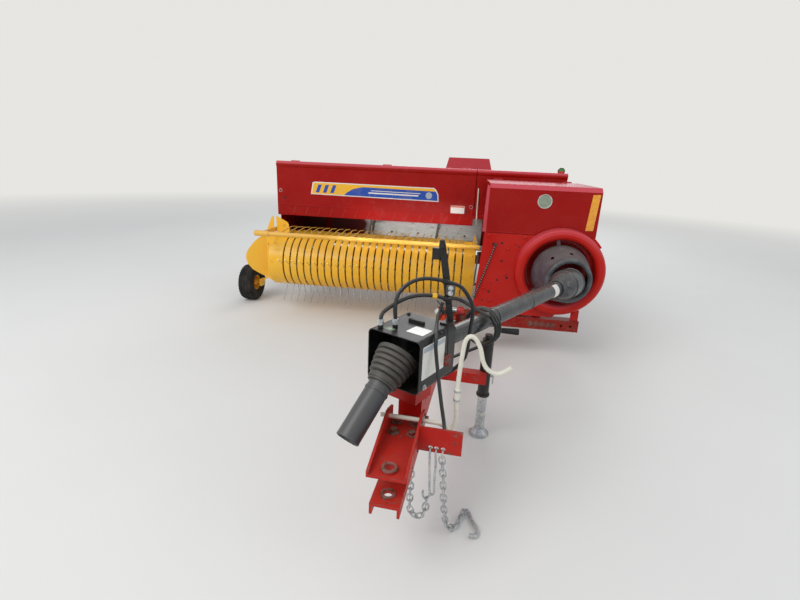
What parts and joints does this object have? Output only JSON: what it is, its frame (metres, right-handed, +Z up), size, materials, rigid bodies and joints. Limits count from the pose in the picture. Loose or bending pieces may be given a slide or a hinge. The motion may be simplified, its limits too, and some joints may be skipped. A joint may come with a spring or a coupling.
{
  "type": "square baler",
  "caption": "Towed square baler with a banded tine pickup, side feeder, bale case with needles and knotters, flywheel drive and a swinging tongue.",
  "frame": {"origin": "on the ground under the middle of the whole baler", "axes": "-Y the way it travels, +X its left side, +Z up"},
  "size_m": [3.323, 5.996, 1.53],
  "materials": {
    "red_frame": "satin",
    "red_shields": "gloss",
    "yellow": "gloss",
    "worn_steel": "worn",
    "cast": "painted",
    "rotor_steel": "worn",
    "tyre": "matte",
    "rim": "gloss",
    "black_metal": "satin",
    "hose": "matte",
    "guard_plastic": "matte",
    "galvanised": "dull",
    "beige": "satin"
  },
  "bodies": {
    "main": {"frame": "red_frame", "bale_case": "red_frame", "feeder_pan": "worn_steel", "front_shield": "red_shields", "shields": "red_shields", "gearbox": "cast", "flywheel_guard": "guard_plastic", "twine_box": "red_shields", "knotters": "cast", "tension_unit": "red_frame", "feeder_drive": "cast"},
    "wheel_left": {"tyre_left": "tyre", "rim_left": "rim"},
    "wheel_right": {"tyre_right": "tyre", "rim_right": "rim"},
    "wheel_gauge": {"tyre_gauge": "tyre", "rim_gauge": "yellow"},
    "pickup": {"pickup_frame": "yellow", "pickup_bands": "yellow", "pickup_flare": "yellow"},
    "reel": {"reel": "worn_steel"},
    "windguard": {"windguard": "yellow"},
    "rotor_left": {"feeder_rotor_left": "rotor_steel"},
    "rotor_right": {"feeder_rotor_right": "rotor_steel"},
    "flywheel": {"flywheel": "red_shields"},
    "tongue": {"tongue": "red_frame", "hitch": "red_frame", "bearing_shield": "black_metal", "hose_post": "black_metal", "hoses": "hose", "jack_body": "black_metal", "safety_chain": "galvanised"},
    "jack_leg": {"jack_leg": "galvanised"},
    "support_rod": {"support_rod": "beige"},
    "shaft_front": {"bellows": "guard_plastic", "shaft_front": "guard_plastic"},
    "shaft_rear": {"shaft_rear": "guard_plastic"},
    "shaft_slide": {"shaft_slide": "guard_plastic"},
    "panel_front": {"panel_front": "red_shields"},
    "hood_front": {"hood_front": "red_shields"},
    "knotter_cover": {"knotter_cover": "red_shields"},
    "twine_lid": {"twine_lid": "red_shields"},
    "chute": {"chute": "red_frame"},
    "needles": {"needles": "worn_steel"},
    "plunger": {"plunger": "worn_steel"}
  },
  "joints": [
    {"name": "wheel_left_spin", "type": "hinge", "parent": "main", "child": "wheel_left", "pos_m": [1.48, 1.15, 0.374], "axis": [1, 0, 0], "continuous": true},
    {"name": "wheel_right_spin", "type": "hinge", "parent": "main", "child": "wheel_right", "pos_m": [-1.325, 1.15, 0.35], "axis": [1, 0, 0], "continuous": true},
    {"name": "wheel_gauge_spin", "type": "hinge", "parent": "pickup", "child": "wheel_gauge", "pos_m": [-1.575, 0.11, 0.184], "axis": [1, 0, 0], "continuous": true},
    {"name": "pickup_lift", "type": "hinge", "parent": "main", "child": "pickup", "pos_m": [0, 0.3, 0.585], "axis": [-1, 0, 0], "range_deg": [0, 10]},
    {"name": "reel_spin", "type": "hinge", "parent": "pickup", "child": "reel", "pos_m": [-0.2, -0.115, 0.44], "axis": [1, 0, 0], "continuous": true},
    {"name": "windguard_lift", "type": "hinge", "parent": "pickup", "child": "windguard", "pos_m": [0, 0.06, 0.8], "axis": [-1, 0, 0], "range_deg": [0, 25]},
    {"name": "rotor_left_spin", "type": "hinge", "parent": "main", "child": "rotor_left", "pos_m": [0.355, 0.5, 0.98], "axis": [0, 1, 0], "continuous": true},
    {"name": "rotor_right_spin", "type": "hinge", "parent": "main", "child": "rotor_right", "pos_m": [-0.345, 0.5, 0.98], "axis": [0, 1, 0], "continuous": true},
    {"name": "flywheel_spin", "type": "hinge", "parent": "main", "child": "flywheel", "pos_m": [1.339, -0.7, 0.719], "axis": [0, 1, 0], "continuous": true},
    {"name": "tongue_swing", "type": "hinge", "parent": "main", "child": "tongue", "pos_m": [0.545, -0.815, 0.285], "axis": [0, 0, 1], "range_deg": [0, 20]},
    {"name": "driveline_swing", "type": "hinge", "parent": "main", "child": "shaft_rear", "pos_m": [1.339, -1.1, 0.719], "axis": [0, 0, 1], "range_deg": [-1, 20]},
    {"name": "driveline_slide", "type": "slide", "parent": "shaft_rear", "child": "shaft_slide", "axis": [0.5491, 0.8358, 0], "range_m": [-0.01, 0.31]},
    {"name": "front_shaft_lift", "type": "hinge", "parent": "tongue", "child": "shaft_front", "pos_m": [0.34862, -2.63423, 0.715], "axis": [-0.8745, 0.485, 0], "range_deg": [0, 30]},
    {"name": "jack_slide", "type": "slide", "parent": "tongue", "child": "jack_leg", "axis": [0, 0, 1], "range_m": [0, 0.2]},
    {"name": "support_rod_swing", "type": "hinge", "parent": "tongue", "child": "support_rod", "pos_m": [0.41205, -2.66523, 0.5], "axis": [0.9974, -0.0717, 0], "range_deg": [0, 60]},
    {"name": "panel_open", "type": "hinge", "parent": "main", "child": "panel_front", "pos_m": [-0.2, 0.11, 1.429], "axis": [-1, 0, 0], "range_deg": [0, 85]},
    {"name": "hood_open", "type": "hinge", "parent": "main", "child": "hood_front", "pos_m": [1.17, 0.041, 1.35], "axis": [-1, 0, 0], "range_deg": [0, 60]},
    {"name": "knotter_cover_open", "type": "hinge", "parent": "main", "child": "knotter_cover", "pos_m": [1.055, 0.866, 1.309], "axis": [1, 0, 0], "range_deg": [0, 70]},
    {"name": "twine_lid_open", "type": "hinge", "parent": "main", "child": "twine_lid", "pos_m": [0.345, 1.3, 1.402], "axis": [0, -1, 0], "range_deg": [0, 90]},
    {"name": "chute_fold", "type": "hinge", "parent": "main", "child": "chute", "pos_m": [1.055, 2.264, 0.586], "axis": [1, 0, 0], "range_deg": [0, 80]},
    {"name": "needle_swing", "type": "hinge", "parent": "main", "child": "needles", "pos_m": [1.055, 0.33, 0.605], "axis": [1, 0, 0], "range_deg": [0, 35.4]},
    {"name": "plunger_stroke", "type": "slide", "parent": "main", "child": "plunger", "axis": [0, 1, 0], "range_m": [0, 0.55]}
  ],
  "couplings": [
    {"joint": "driveline_swing", "follows": "tongue_swing", "ratio": 0.953},
    {"joint": "driveline_slide", "follows": "tongue_swing", "m_per_rad": 0.8374}
  ]
}
